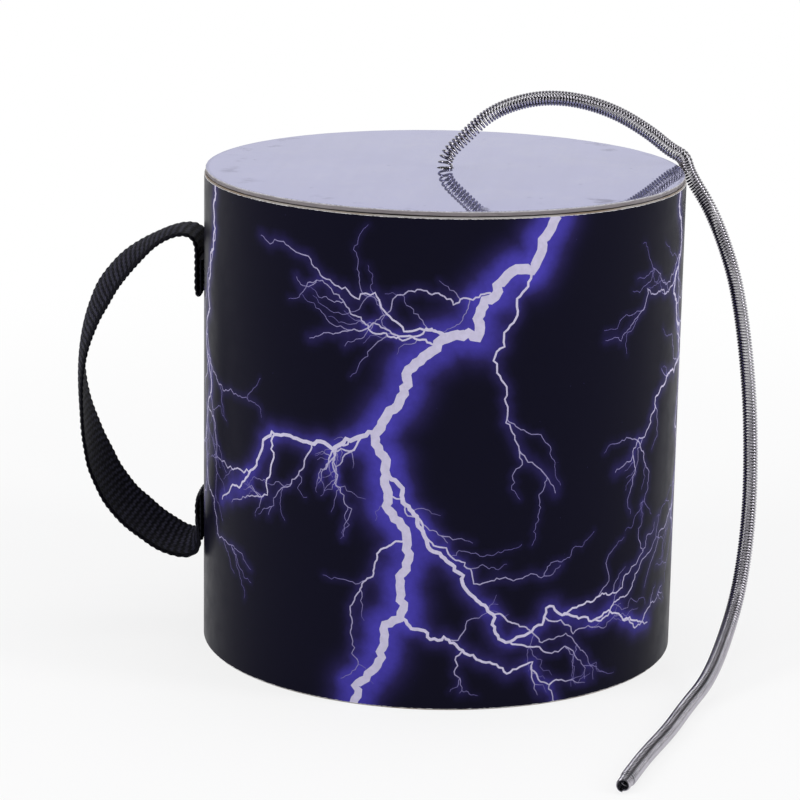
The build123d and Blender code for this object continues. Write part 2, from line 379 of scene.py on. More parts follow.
def ripple(angles, draws, waves, lowest=2):
    """A smooth random height round a ring, between about -1 and 1."""
    height = np.zeros_like(angles)
    for wave in range(lowest, lowest + waves):
        height += draws.uniform(-1, 1) * np.sin(wave * angles + draws.uniform(0, math.tau))
    return height / math.sqrt(waves / 2)


def hold(piece, name, domain, values):
    """Keep a number for each point or face of a piece."""
    held = piece.data.attributes.new(name, "FLOAT", domain)
    held.data.foreach_set("value", np.asarray(values, np.float32).ravel())


# Finishes


def darker(shade, share):
    """A colour with only a share of its light."""
    return [part * share for part in shade]


def new_finish(name, **sockets):
    """A material with one shader, and that shader's plain sockets set."""
    finish = bpy.data.materials.new(name)
    finish.use_nodes = True
    shader = finish.node_tree.nodes["Principled BSDF"]
    for socket, value in sockets.items():
        shader.inputs[socket.replace("_", " ")].default_value = value
    return finish, finish.node_tree, shader


def add_node(tree, kind, inputs=(), **fields):
    """A new shader node, with fields set and inputs either linked or set."""
    made = tree.nodes.new("ShaderNode" + kind)
    for field, value in fields.items():
        setattr(made, field, value)
    for key, value in dict(inputs).items():
        if isinstance(value, bpy.types.NodeSocket):
            tree.links.new(value, made.inputs[key])
        else:
            made.inputs[key].default_value = value
    return made


def sum_of(tree, operation, *values):
    """The result of one step of arithmetic."""
    return add_node(tree, "Math", enumerate(values), operation=operation).outputs[0]


def noise(tree, place, scale, detail=4.0, roughness=0.6):
    """Cloudy noise from 0 to 1."""
    inputs = {"Vector": place, "Scale": scale, "Detail": detail, "Roughness": roughness}
    return add_node(tree, "TexNoise", inputs).outputs["Fac"]


def fade(tree, value, low, high, start=0.0, end=1.0):
    """A value spread smoothly from low and high to start and end."""
    inputs = {"Value": value, "From Min": low, "From Max": high, "To Min": start, "To Max": end}
    return add_node(tree, "MapRange", inputs, interpolation_type="SMOOTHSTEP").outputs["Result"]


def mixed(tree, share, first, second, mode="MIX"):
    """Two colours mixed, each a colour or a socket."""
    inputs = {"Factor": share}
    made = add_node(tree, "Mix", inputs, data_type="RGBA", blend_type=mode)
    for socket, value in zip((made.inputs[6], made.inputs[7]), (first, second)):
        if isinstance(value, bpy.types.NodeSocket):
            tree.links.new(value, socket)
        else:
            socket.default_value = (*value, 1.0)
    return made.outputs[2]


def ramp(tree, value, *stops):
    """A colour read from a value, between stops of position and colour."""
    made = add_node(tree, "ValToRGB", {"Fac": value})
    elements = made.color_ramp.elements
    while len(elements) < len(stops):
        elements.new(1.0)
    for element, (position, shade) in zip(elements, stops):
        element.position = position
        element.color = (*shade, 1.0)
    return made.outputs["Color"]


def attribute(tree, name):
    """A number that the mesh holds."""
    return add_node(tree, "Attribute", attribute_name=name).outputs["Fac"]


def place_on_piece(tree):
    """The point's place in the frame of the model."""
    return add_node(tree, "TexCoord").outputs["Object"]


def parts_of(tree, place):
    """A place's X, Y and Z."""
    return add_node(tree, "SeparateXYZ", {0: place}).outputs


def off_axis(tree, place):
    """A place without its height, and its distance from the drum's axis."""
    flat = add_node(tree, "VectorMath", {0: place, 1: (1, 1, 0)}, operation="MULTIPLY").outputs[0]
    return flat, add_node(tree, "VectorMath", {0: flat}, operation="LENGTH").outputs["Value"]


def bump(tree, shader, height, distance, strength=1.0):
    """Fine relief on a shader."""
    made = add_node(tree, "Bump", {"Height": height, "Distance": distance, "Strength": strength})
    tree.links.new(made.outputs["Normal"], shader.inputs["Normal"])


def link(tree, value, shader, socket):
    """A patterned value on one of the shader's sockets."""
    tree.links.new(value, shader.inputs[socket])


def round_place(tree, stretch):
    """Place on the unrolled tube, stretched along the winding, then its turn, height and radius."""
    place = place_on_piece(tree)
    parts = parts_of(tree, place)
    turns = sum_of(tree, "DIVIDE", sum_of(tree, "ARCTAN2", parts["Y"], parts["X"]), math.tau)
    along = sum_of(tree, "MULTIPLY", turns, math.tau * TUBE_RADIUS / stretch)
    unrolled = add_node(tree, "CombineXYZ", {"X": along, "Y": parts["Z"]}).outputs[0]
    _, radius = off_axis(tree, place)
    return unrolled, turns, parts["Z"], radius


def board_finish(look):
    """Raw grey-brown board, wound in a spiral, with its layers showing on the cut ends."""
    finish, tree, shader = new_finish("Raw board", Roughness=0.86, Specular_IOR_Level=0.25)
    unrolled, turns, z, radius = round_place(tree, stretch=6.0)
    fibre = noise(tree, unrolled, 900.0, detail=6.0)
    cloud = noise(tree, unrolled, 60.0)
    wound = sum_of(tree, "SUBTRACT", sum_of(tree, "DIVIDE", z, look.seam_climb), turns)
    beside = sum_of(tree, "ABSOLUTE", sum_of(tree, "SUBTRACT", sum_of(tree, "FRACT", wound), 0.5))
    seam = fade(tree, beside, 0.0, 0.9 * MM / look.seam_climb, 1.0, 0.0)
    layer = sum_of(tree, "FRACT", sum_of(tree, "DIVIDE", radius, look.ply))
    layer = fade(tree, layer, 0.0, 0.25, 0.75, 1.0)
    shade = mixed(tree, fade(tree, fibre, 0.35, 0.7), look.board_dark, look.board)
    shade = mixed(tree, fade(tree, cloud, 0.3, 0.75, 0.0, 0.35), shade, look.board_dark)
    shade = mixed(tree, layer, look.board_dark, shade)
    shade = mixed(tree, seam, shade, look.seam)
    lined = sum_of(tree, "GREATER_THAN", radius, TUBE_RADIUS - look.liner_depth)
    lined = sum_of(tree, "MULTIPLY", lined, fade(tree, cloud, 0.38, 0.58, 0.1, 0.9))
    shade = mixed(tree, lined, shade, look.liner)
    link(tree, shade, shader, "Base Color")
    relief = sum_of(tree, "SUBTRACT", fibre, sum_of(tree, "MULTIPLY", seam, 2.0))
    bump(tree, shader, relief, 0.12 * MM, 0.6)
    return finish


def print_finish(look):
    """Satin print: a night ground, the glow round each bolt, and the bolts, rubbed at the edges."""
    finish, tree, shader = new_finish(
        "Lightning print", Specular_IOR_Level=0.03, Specular_Tint=(0.8, 0.78, 1.0, 1.0)
    )
    place = place_on_piece(tree)
    z = parts_of(tree, place)["Z"]
    glow = attribute(tree, "glow")
    inked = attribute(tree, "bolt_ink")
    mottle = noise(tree, place, 420.0)
    glow = sum_of(tree, "MULTIPLY", glow, fade(tree, noise(tree, place, 46.0), 0.2, 0.8, 0.8, 1.1))
    ground = ramp(tree, glow, (0.0, look.ground), (0.34, look.dusk), (1.0, look.glow))
    ink = ramp(tree, inked, (0.1, look.twig), (0.6, look.bolt))
    shade = mixed(tree, sum_of(tree, "GREATER_THAN", inked, 0.004), ground, ink)
    shade = mixed(tree, fade(tree, mottle, 0.3, 0.7, 0.0, 0.12), shade, look.ground)
    specks = add_node(tree, "TexVoronoi", {"Vector": place, "Scale": 130.0}).outputs["Distance"]
    speck = fade(tree, specks, 0.012, 0.022, 0.5, 0.0)
    shade = mixed(tree, speck, shade, look.twig)
    above_foot = sum_of(tree, "SUBTRACT", z, WRAP_LOW.z)
    below_top = sum_of(tree, "SUBTRACT", WRAP_HIGH.z, z)
    from_edge = sum_of(tree, "MINIMUM", above_foot, below_top)
    ragged = fade(tree, noise(tree, place, 700.0), 0.35, 0.7, 0.02 * MM, 0.2 * MM)
    rubbed = sum_of(tree, "LESS_THAN", from_edge, ragged)
    shade = mixed(tree, rubbed, shade, look.paper)
    link(tree, shade, shader, "Base Color")
    rough = fade(tree, noise(tree, place, 120.0), 0.25, 0.75, 0.29, 0.38)
    link(tree, rough, shader, "Roughness")
    bump(tree, shader, noise(tree, place, 1500.0, detail=2.0), 0.015 * MM, 0.35)
    return finish


def paper_finish(look):
    """Uncoated paper, on the cut edges and the back of the print."""
    finish, tree, shader = new_finish("Paper edge", Roughness=0.9, Specular_IOR_Level=0.2)
    place = place_on_piece(tree)
    fibre = noise(tree, place, 1600.0)
    shade = mixed(tree, fibre, look.paper, darker(look.paper, 0.72))
    link(tree, shade, shader, "Base Color")
    bump(tree, shader, fibre, 0.05 * MM, 0.5)
    return finish


def film_finish(look):
    """Silvery glossy film, with grey glue marks near its edge, faint streaks and a few specks."""
    finish, tree, shader = new_finish(
        "Drumhead film", Metallic=0.75, Specular_Tint=(0.78, 0.78, 0.87, 1.0)
    )
    flat, from_axis = off_axis(tree, place_on_piece(tree))
    glued = sum_of(
        tree,
        "MULTIPLY",
        fade(tree, from_axis, 0.82 * FILM_RADIUS, 0.89 * FILM_RADIUS),
        fade(tree, from_axis, 0.97 * FILM_RADIUS, 0.99 * FILM_RADIUS, 1.0, 0.0),
    )
    blots = fade(tree, noise(tree, flat, 55.0, detail=5.0), 0.53, 0.66)
    mark = sum_of(tree, "MULTIPLY", sum_of(tree, "MULTIPLY", glued, blots), 0.8)
    specks = add_node(tree, "TexVoronoi", {"Vector": flat, "Scale": 75.0}).outputs["Distance"]
    speck = fade(tree, specks, 0.035, 0.08, 0.7, 0.0)
    mark = sum_of(tree, "MAXIMUM", mark, speck)
    frayed = fade(tree, noise(tree, flat, 90.0), 0.3, 0.7, 0.15, 0.75)
    rim = fade(tree, from_axis, 0.982 * FILM_RADIUS, 0.994 * FILM_RADIUS)
    mark = sum_of(tree, "MAXIMUM", mark, sum_of(tree, "MULTIPLY", rim, frayed))
    drawn = add_node(tree, "Mapping", {"Vector": flat, "Scale": (1.0, 0.06, 1.0)}).outputs[0]
    streak = fade(tree, noise(tree, drawn, 110.0), 0.35, 0.7, 0.0, 0.1)
    cloud = fade(tree, noise(tree, flat, 16.0), 0.3, 0.7, 0.0, 0.1)
    cloud = sum_of(tree, "ADD", cloud, streak)
    shade = mixed(tree, sum_of(tree, "MAXIMUM", mark, cloud), look.film, look.smudge)
    link(tree, shade, shader, "Base Color")
    smooth = fade(tree, noise(tree, flat, 30.0), 0.2, 0.8, 0.012, 0.028)
    rough = sum_of(tree, "ADD", smooth, sum_of(tree, "MULTIPLY", mark, 0.22))
    link(tree, rough, shader, "Roughness")
    return finish


def film_edge_finish(look):
    """Cut edge of the film, pale and a little frayed."""
    finish, tree, shader = new_finish("Film edge", Roughness=0.45)
    place = place_on_piece(tree)
    fray = fade(tree, noise(tree, place, 900.0), 0.4, 0.7)
    link(tree, mixed(tree, fray, look.film_edge, look.ring), shader, "Base Color")
    return finish


def ring_finish(look):
    """Board of the ring, its outer face painted dark at the foot as shadow in the gap, and pale along its
    top edge as a highlight.
    """
    finish, tree, shader = new_finish("Ring board", Roughness=0.88, Specular_IOR_Level=0.2)
    unrolled, _, z, _ = round_place(tree, stretch=9.0)
    fibre = noise(tree, unrolled, 1300.0, detail=5.0)
    cloud = noise(tree, unrolled, 140.0)
    share = sum_of(tree, "DIVIDE", sum_of(tree, "SUBTRACT", z, RING_LOW.z), RING_HIGH.z - RING_LOW.z)
    wander = sum_of(tree, "ADD", share, fade(tree, cloud, 0.2, 0.8, -0.12, 0.12))
    # Painted light up the outer face: the foot takes the gap colour as painted shadow under the ring, and
    # the top edge takes a painted highlight
    layers = ramp(
        tree, wander, (0.0, look.shadow), (0.2, look.shadow), (0.27, look.ring), (0.8, look.ring),
        (0.93, look.ring_light),
    )
    shade = mixed(tree, fade(tree, fibre, 0.35, 0.7, 0.0, 0.4), layers, darker(look.ring, 0.5))
    link(tree, shade, shader, "Base Color")
    bump(tree, shader, fibre, 0.1 * MM, 0.7)
    return finish


def spring_finish(look):
    """Drawn steel wire, bright and a little dulled, with painted shade on the inside of the coil where the
    turns lie close.
    """
    finish, tree, shader = new_finish("Spring steel", Metallic=1.0)
    place = place_on_piece(tree)
    dull = noise(tree, place, 260.0)
    shade = mixed(tree, fade(tree, dull, 0.35, 0.75, 0.0, 0.45), look.steel, darker(look.steel, 0.62))
    # Painted shade: the wire's inward-facing side is darkened where the turns lie close
    shade = mixed(tree, fade(tree, attribute(tree, "inward"), 0.22, 0.62), shade, look.inside)
    link(tree, shade, shader, "Base Color")
    link(tree, fade(tree, noise(tree, place, 900.0), 0.2, 0.8, 0.12, 0.22), shader, "Roughness")
    return finish


def plating_finish(look):
    """Plated steel with fine scratches."""
    finish, tree, shader = new_finish("Plated steel", Metallic=1.0)
    place = place_on_piece(tree)
    stretched = add_node(tree, "Mapping", {"Vector": place, "Scale": (1.0, 0.12, 1.0)}).outputs[0]
    scratch = noise(tree, stretched, 4000.0)
    worn = fade(tree, scratch, 0.3, 0.7, 0.0, 0.4)
    shade = mixed(tree, worn, look.plating, darker(look.plating, 0.6))
    link(tree, shade, shader, "Base Color")
    link(tree, fade(tree, scratch, 0.2, 0.8, 0.24, 0.42), shader, "Roughness")
    bump(tree, shader, scratch, 0.01 * MM, 0.4)
    return finish


def webbing_finish(look):
    """Black woven nylon: dark yarn kept in the grooves as painted shade, and the tops of its ribs paler
    from rubbing together with a painted highlight.
    """
    finish, tree, shader = new_finish(
        "Black webbing", Specular_IOR_Level=0.12, Specular_Tint=(0.75, 0.74, 1.0, 1.0)
    )
    place = place_on_piece(tree)
    # Paler rib tops: rubbed yarn and a painted highlight; the grooves keep the dark yarn as painted shade
    top = fade(tree, attribute(tree, "rib_top"), 0.45, 0.95)
    patchy = fade(tree, noise(tree, place, 240.0), 0.25, 0.65, 0.25, 1.0)
    rubbed = sum_of(tree, "MULTIPLY", top, patchy)
    link(tree, mixed(tree, rubbed, look.yarn, look.yarn_worn_and_highlight), shader, "Base Color")
    thread = noise(tree, place, 3200.0, detail=3.0)
    link(tree, fade(tree, thread, 0.2, 0.8, 0.55, 0.75), shader, "Roughness")
    bump(tree, shader, thread, 0.09 * MM, 0.7)
    return finish


# Drum


class THUNDERTUBE_OT_tube(bpy.types.Operator):
    """Give the tube its raw board."""

    bl_idname = "thunder_tube.tube"
    bl_label = "Tube"

    def execute(self, context):
        finish = board_finish(context.scene.thunder_tube.tube)
        dress_node("drum_shell", finish)
        return {"FINISHED"}


def dress_node(name, finish):
    """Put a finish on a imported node."""
    slots = frame["nodes"][name].data.materials
    slots.clear()
    slots.append(finish)


# Print


BOLT_STEP = 1.7  # millimetres
THINNEST_BOLT = 0.24
FORK_TURN = (22, 60)
FORK_REACH = (0.16, 0.46)
FORK_WIDTH = (0.34, 0.5)
SWAY = 0.13
FULL_INK_WIDTH = 1.3


def jagged(start, end, chance):
    """Points of a bolt: each gap is split and its middle thrown aside, until the gaps are short."""
    points = [Vector(start), Vector(end)]
    gap = (points[1] - points[0]).length
    while gap > BOLT_STEP:
        split = [points[0]]
        for before, after in zip(points, points[1:]):
            run = after - before
            aside = Vector((-run.y, run.x)) * max(-0.3, min(0.3, chance.gauss(0, SWAY)))
            split += [(before + after) / 2 + aside, after]
        points = split
        gap /= 2
    return points


def grow(bolts, points, width, forks, chance):
    """Add a bolt, and thinner ones that fork off it and fork again."""
    bolts.append((np.array(points), width))
    reach = (points[-1] - points[0]).length
    if width * FORK_WIDTH[1] < THINNEST_BOLT:
        return
    for _ in range(forks):
        at = chance.randrange(len(points) // 10, len(points) * 9 // 10 + 1)
        back = max(at - 6, 0)
        heading = points[min(back + 12, len(points) - 1)] - points[back]
        turn = chance.choice((-1, 1)) * math.radians(chance.uniform(*FORK_TURN))
        side = Vector((-heading.y, heading.x))
        way = (heading * math.cos(turn) + side * math.sin(turn)).normalized()
        end = points[at] + way * max(reach * chance.uniform(*FORK_REACH), 4 * BOLT_STEP)
        thinner = max(width * chance.uniform(*FORK_WIDTH), THINNEST_BOLT)
        if width > FULL_INK_WIDTH * 2:
            thinner *= 0.5
        grow(bolts, jagged(points[at], end, chance), thinner, max(forks // 2, 1), chance)


def draw_bolts(middle, seed):
    """All bolts of the print on the unrolled sheet, in millimetres."""
    chance = random.Random(seed)
    around = math.tau * WRAP_RADIUS / MM / 360
    bolts = []
    mains = []
    for start, top, end, low, width, forks in STROKES:
        points = jagged((middle + start * around, top), (middle + end * around, low), chance)
        mains.append(points)
        grow(bolts, points, width, forks, chance)
    for main, height, end, low, width, forks in BRANCHES:
        root = min(mains[main], key=lambda point: abs(point.y - height))
        points = jagged(root, (middle + end * around, low), chance)
        grow(bolts, points, width, forks, chance)
    return bolts


def bolt_widths(points, width):
    """A bolt's width along it: broad bolts run on, thin ones taper to a tip."""
    end = 0.8 if width > FULL_INK_WIDTH * 2 else 0.3
    return np.linspace(width, max(width * end, 0.16), len(points))


def ribbon(points, widths):
    """Both edges of a bolt, square to its run."""
    heading = unit(np.gradient(points, axis=0) + 1e-9)
    aside = np.stack([-heading[:, 1], heading[:, 0]], axis=1) * widths[:, None] / 2
    return points + aside, points - aside


def distance_to_line(spots, points):
    """Distance from each spot to the nearest of a line's runs."""
    starts = points[:-1]
    runs = points[1:] - starts
    offsets = spots[:, None, :] - starts[None]
    share = (offsets * runs).sum(2) / np.maximum((runs * runs).sum(1), 1e-12)
    nearest = offsets - np.clip(share, 0, 1)[..., None] * runs
    return np.sqrt((nearest * nearest).sum(2).min(1))


def glow_at(spots, bolts):
    """How strongly the bolts light each spot of the sheet, from 0 to 1."""
    dark = np.ones(len(spots))
    for points, width in bolts:
        reach = 1.2 + 2.7 * width
        strength = min(1.0, 0.64 * (width / 2.2) ** 0.85)
        low = points.min(0) - 1.8 * reach
        high = points.max(0) + 1.8 * reach
        near = np.nonzero(((spots > low) & (spots < high)).all(1))[0]
        if len(near):
            beyond = np.maximum(distance_to_line(spots[near], points) - width / 2, 0)
            dark[near] *= 1 - 0.97 * strength * np.exp(-((beyond / (0.6 * reach)) ** 2))
    return 1 - dark


def sheet_outline(width, low, high, step):
    """Points round the sheet's edge, anticlockwise."""
    across = np.linspace(0, width, round(width / step) + 1)
    up = np.linspace(low, high, round((high - low) / step) + 1)
    edge = [(u, low) for u in across[:-1]] + [(width, v) for v in up[:-1]]
    edge += [(u, high) for u in across[:0:-1]] + [(0, v) for v in up[:0:-1]]
    return edge


def hole_outline(u, v, radius, steps=16):
    """Points round a hole, anticlockwise."""
    turns = [math.tau * i / steps for i in range(steps)]
    return [(u + radius * math.cos(turn), v + radius * math.sin(turn)) for turn in turns]


def sheet_mesh(outlines, inner, bolts):
    """Triangles of a sheet with holes: its points, its faces and each face's bolt width."""
    points = [Vector(spot) for outline in outlines for spot in outline]
    faces = []
    first = 0
    for outline in outlines:
        faces.append(list(range(first, first + len(outline))))
        first += len(outline)
    points += [Vector(spot) for spot in inner]
    widths = {}
    for line, width in bolts:
        tapered = bolt_widths(line, width)
        left, right = ribbon(line, tapered)
        base = len(points)
        points += [Vector(spot) for pair in zip(right, left) for spot in pair]
        for i in range(len(line) - 1):
            corner = base + 2 * i
            widths[len(faces)] = tapered[i]
            faces.append([corner, corner + 2, corner + 3, corner + 1])
    spots, _, triangles, _, _, sources = delaunay_2d_cdt(points, [], faces, 0, 1e-4)
    kept = []
    inks = []
    holes = set(range(1, len(outlines)))
    for triangle, source in zip(triangles, sources):
        if 0 in source and not holes.intersection(source):
            kept.append(tuple(triangle))
            inks.append(max((widths[face] for face in source if face in widths), default=0.0))
    used = sorted({corner for triangle in kept for corner in triangle})
    place = {corner: i for i, corner in enumerate(used)}
    kept = [tuple(place[corner] for corner in triangle) for triangle in kept]
    return np.array(spots)[used], kept, np.array(inks)


def open_edges(faces):
    """Edges that only one face has, in that face's order."""
    edges = {}
    for face in faces:
        for start, end in zip(face, face[1:] + face[:1]):
            if (end, start) in edges:
                del edges[end, start]
            else:
                edges[start, end] = True
    return list(edges)


def wrap_round(spots, width, inset, look):
    """Sheet points laid round the tube, its last end lapped over its first."""
    around = WRAP_RADIUS / MM
    seam = math.pi / 2 - look.lap / MM / 2 / around
    turn = seam + spots[:, 0] / around
    climb = np.clip((spots[:, 0] - (width - look.lap / MM - 3)) / 3, 0, 1)
    radius = around - inset + (look.thickness / MM + 0.01) * climb * climb * (3 - 2 * climb)
    return np.stack([radius * np.cos(turn), radius * np.sin(turn), spots[:, 1]], axis=1) * MM


def sheet_back(spots, front, filling, holes, radius):
    """Points of a sheet's coarser back, and the faces of its cut edges and its back."""
    edges = open_edges(front)
    rim = sorted({spot for edge in edges for spot in edge})
    order = {spot: i for i, spot in enumerate(rim)}
    first = len(spots)
    faces = [(end, start, first + order[start], first + order[end]) for start, end in edges]
    points = [Vector(spots[spot]) for spot in rim] + [Vector(spot) for spot in filling]
    rim_edges = [(order[start], order[end]) for start, end in edges]
    flat, _, triangles, origin, _, _ = delaunay_2d_cdt(points, rim_edges, [], 0, 1e-5)
    names = []
    extra = []
    for spot, found in zip(flat, origin):
        if found and found[0] < len(rim):
            names.append(first + found[0])
        else:
            names.append(first + len(rim) + len(extra))
            extra.append(spot)
    for triangle in triangles:
        centre = np.mean([flat[i] for i in triangle], axis=0)
        if np.linalg.norm(holes - centre, axis=1).min() > radius:
            faces.append(tuple(names[i] for i in reversed(triangle)))
    return np.concatenate([spots[rim], np.array(extra)]), faces


def build_wrap(look):
    """The printed sheet with its bolts, closed by its cut edges and its back."""
    around = WRAP_RADIUS / MM
    width = math.tau * around + look.lap / MM
    middle = (math.pi + look.lap / MM / 2 / around) * around
    low, high = WRAP_LOW.z / MM, WRAP_HIGH.z / MM
    step = look.mesh_step / MM
    bolts = draw_bolts(middle, look.seed)
    handle = middle - math.pi / 2 * around
    hole = (UPPER_RIVET_HIGH.y - UPPER_RIVET_LOW.y) / MM / 4
    rivets = np.array([(handle, place.z / MM) for place in (UPPER_RIVET, LOWER_RIVET)])
    outlines = [sheet_outline(width, low, high, step)]
    outlines += [hole_outline(u, v, hole) for u, v in rivets]
    columns = np.arange(step, width - step / 2, step)
    rows = np.arange(low + step, high - step / 2, step)
    inner = [(u + step / 4 * (-1) ** i, v) for i, v in enumerate(rows) for u in columns]
    spots, front, inks = sheet_mesh(outlines, inner, bolts)
    coarse = 4 * step
    back_rows = np.arange(low + coarse, high - 1, coarse)
    filling = [(u, v) for v in back_rows for u in np.arange(coarse, width - 1, coarse)]
    back_spots, closing = sheet_back(spots, front, filling, rivets, hole)
    points = [
        wrap_round(spots, width, 0.0, look),
        wrap_round(back_spots, width, look.thickness / MM, look),
    ]
    finishes = print_finish(look), paper_finish(look)
    piece = new_piece("printed_wrap", np.concatenate(points), front + closing, *finishes)
    inked = np.zeros(len(piece.data.polygons))
    inked[: len(front)] = np.clip(inks / FULL_INK_WIDTH, 0, 1)
    hold(piece, "bolt_ink", "FACE", inked)
    light = np.zeros(len(piece.data.vertices))
    light[: len(spots)] = glow_at(spots, bolts)
    hold(piece, "glow", "POINT", light)
    slots = np.ones(len(piece.data.polygons), np.int32)
    slots[: len(front)] = 0
    piece.data.polygons.foreach_set("material_index", slots)
    return piece


class THUNDERTUBE_OT_wrap(bpy.types.Operator):
    """Wrap the tube in its printed paper."""

    bl_idname = "thunder_tube.wrap"
    bl_label = "Printed wrap"

    def execute(self, context):
        piece = build_wrap(context.scene.thunder_tube.wrap)
        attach(piece, "drum")
        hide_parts("print_wrap")
        return {"FINISHED"}


# Head


def build_ring(look, steps=360):
    """Board ring with a frayed edge and an uneven gap under it."""
    draws = random.Random(5)
    turn = np.linspace(0, math.tau, steps, endpoint=False)
    gap = np.clip(0.55 + 0.9 * ripple(turn, draws, 9), 0.05, 1.3) * look.groove
    fray = 0.12 * MM * ripple(turn, draws, 90, lowest=20)
    low, high, outer = RING_LOW.z, RING_HIGH.z, RING_RADIUS
    inner = outer - look.ring_width
    lip = low + 0.45 * MM
    # Corners of the ring's section: radius, height, share of the gap and share of the fray
    sections = [
        (inner, low, 0, 0), (outer - 1.5 * MM, low, 0, 0), (outer - 0.05 * MM, low, -1, 1),
        (outer - 0.05 * MM, lip - 0.08 * MM, -1, 1), (outer - 0.1 * MM, lip, 0, 1),
        (outer, lip + 0.12 * MM, 0, 1), (outer, high - 0.5 * MM, 0, 0.6),
        (outer - 0.06 * MM, high - 0.42 * MM, 0, 1), (outer, high - 0.1 * MM, 0, 0.5),
        (outer - 0.1 * MM, high, 0, 0), (inner, high, 0, 0),
    ]
    radius = np.stack([r + gap * in_gap + fray * frayed for r, _, in_gap, frayed in sections], axis=1)
    height = np.broadcast_to([z for _, z, _, _ in sections], radius.shape)
    points = np.stack([radius * np.cos(turn)[:, None], radius * np.sin(turn)[:, None], height], axis=2)
    faces = grid_faces(steps, len(sections), round_rows=True, round_columns=True)
    return new_piece("ring_board", points.reshape(-1, 3), faces, ring_finish(look))


def build_film(look, steps=240, rings=40):
    """Film with a slightly uneven cut edge and a hole in the middle."""
    draws = random.Random(8)
    turn = np.linspace(0, math.tau, steps, endpoint=False)
    cut = FILM_RADIUS - 0.08 * MM + 0.07 * MM * ripple(turn, draws, 60, lowest=5)
    share = np.linspace(0, 1, rings)
    radius = look.hole + (cut[:, None] - look.hole) * share
    wave = 0.012 * MM * np.sin(3 * turn + 1)[:, None] * np.sin(math.pi * share) ** 2
    top = np.broadcast_to(FILM_HIGH.z + wave, radius.shape)
    under = np.broadcast_to(FILM_LOW.z + wave, radius.shape)
    radius = np.concatenate([radius, radius[:, ::-1]], axis=1)
    height = np.concatenate([top, under[:, ::-1]], axis=1)
    points = np.stack([radius * np.cos(turn)[:, None], radius * np.sin(turn)[:, None], height], axis=2)
    faces = grid_faces(steps, 2 * rings, round_rows=True, round_columns=True)
    finishes = film_finish(look), film_edge_finish(look)
    piece = new_piece("film_head", points.reshape(-1, 3), faces, *finishes)
    for polygon in piece.data.polygons:
        if abs(polygon.normal.z) < 0.5:
            polygon.material_index = 1
    return piece


class THUNDERTUBE_OT_head(bpy.types.Operator):
    """Make the board ring and the film on top of the tube."""

    bl_idname = "thunder_tube.head"
    bl_label = "Head"

    def execute(self, context):
        look = context.scene.thunder_tube.head
        for piece, node, slot in (
            (build_ring(look), "head_ring", "board"),
            (build_film(look), "drumhead_film", "film"),
        ):
            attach(piece, "drum")
            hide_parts(node)
        return {"FINISHED"}


# Spring


def build_spring(look):
    """The coil: one wire wound along its route, opening where it is stretched."""
    line = smooth_line(SPRING_ROUTE)
    reach, heading, side = carried_frames(line, (1, 0, 0))
    fine = np.linspace(0, reach[-1], 6000)
    stations, pitches = np.array(SPRING_PITCH).T * MM
    pitch = np.interp(fine, stations, pitches)
    pitch *= 1 + 0.012 * np.sin(fine * 210) + 0.01 * np.sin(fine * 83 + 1)
    pitch = np.maximum(pitch, look.wire)
    tail = reach[-1] - (look.end_turns + 0.6) * look.wire
    pitch += 0.9 * MM * np.exp(-(((fine - tail) / (0.5 * MM)) ** 2))
    turns = np.concatenate([[0], np.cumsum(np.diff(fine) / pitch[1:])])
    wound = np.linspace(0, turns[-1], int(turns[-1] * look.turn_steps) + 1)
    lengths = np.interp(wound, turns, fine)
    centre = at_lengths(lengths, reach, line)
    ahead = unit(at_lengths(lengths, reach, heading))
    across = at_lengths(lengths, reach, side)
    across = unit(across - ahead * (across * ahead).sum(1, keepdims=True))
    other = np.cross(ahead, across)
    phase = math.tau * wound[:, None]
    outwards = across * np.cos(phase) + other * np.sin(phase)
    left = turns[-1] - wound
    narrow = np.interp(left, [look.end_turns - 0.4, look.end_turns + 0.2], [look.end_share, 1.0])
    middle = centre + outwards * ((look.diameter - look.wire) / 2 * narrow)[:, None]
    along = unit(np.gradient(middle, axis=0))
    outwards = unit(outwards - along * (outwards * along).sum(1, keepdims=True))
    level = np.cross(along, outwards)
    round_wire = np.arange(look.sides) * math.tau / look.sides
    section = outwards[:, None] * np.cos(round_wire)[:, None]
    section = section + level[:, None] * np.sin(round_wire)[:, None]
    points = (middle[:, None] + section * look.wire / 2).reshape(-1, 3)
    faces = grid_faces(len(middle), look.sides, round_columns=True)
    faces += end_faces(len(middle), look.sides)
    piece = new_piece("coil_spring", points, faces, spring_finish(look))
    piece.data.set_sharp_from_angle(angle=math.pi)
    # Strength of the painted shade on the coil's inside: weak on the open turns near the anchor, full where
    # the turns lie close
    closed = np.interp(lengths, [30 * MM, 55 * MM], [0.35, 1.0])
    hold(piece, "inward", "POINT", closed[:, None] * (1 - np.cos(round_wire)) / 2)
    return piece


class THUNDERTUBE_OT_spring(bpy.types.Operator):
    """Wind the coil spring."""

    bl_idname = "thunder_tube.spring"
    bl_label = "Spring"

    def execute(self, context):
        piece = build_spring(context.scene.thunder_tube.spring)
        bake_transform(piece)
        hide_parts("spring_coil")
        return {"FINISHED"}


# Handle


def strap_line():
    """Middle line of the webbing, from one cut end to the other."""
    line = smooth_line([(x, 0, z) for x, z in STRAP_ROUTE])
    line[:, 2] += HANDLE_MIDDLE
    return line


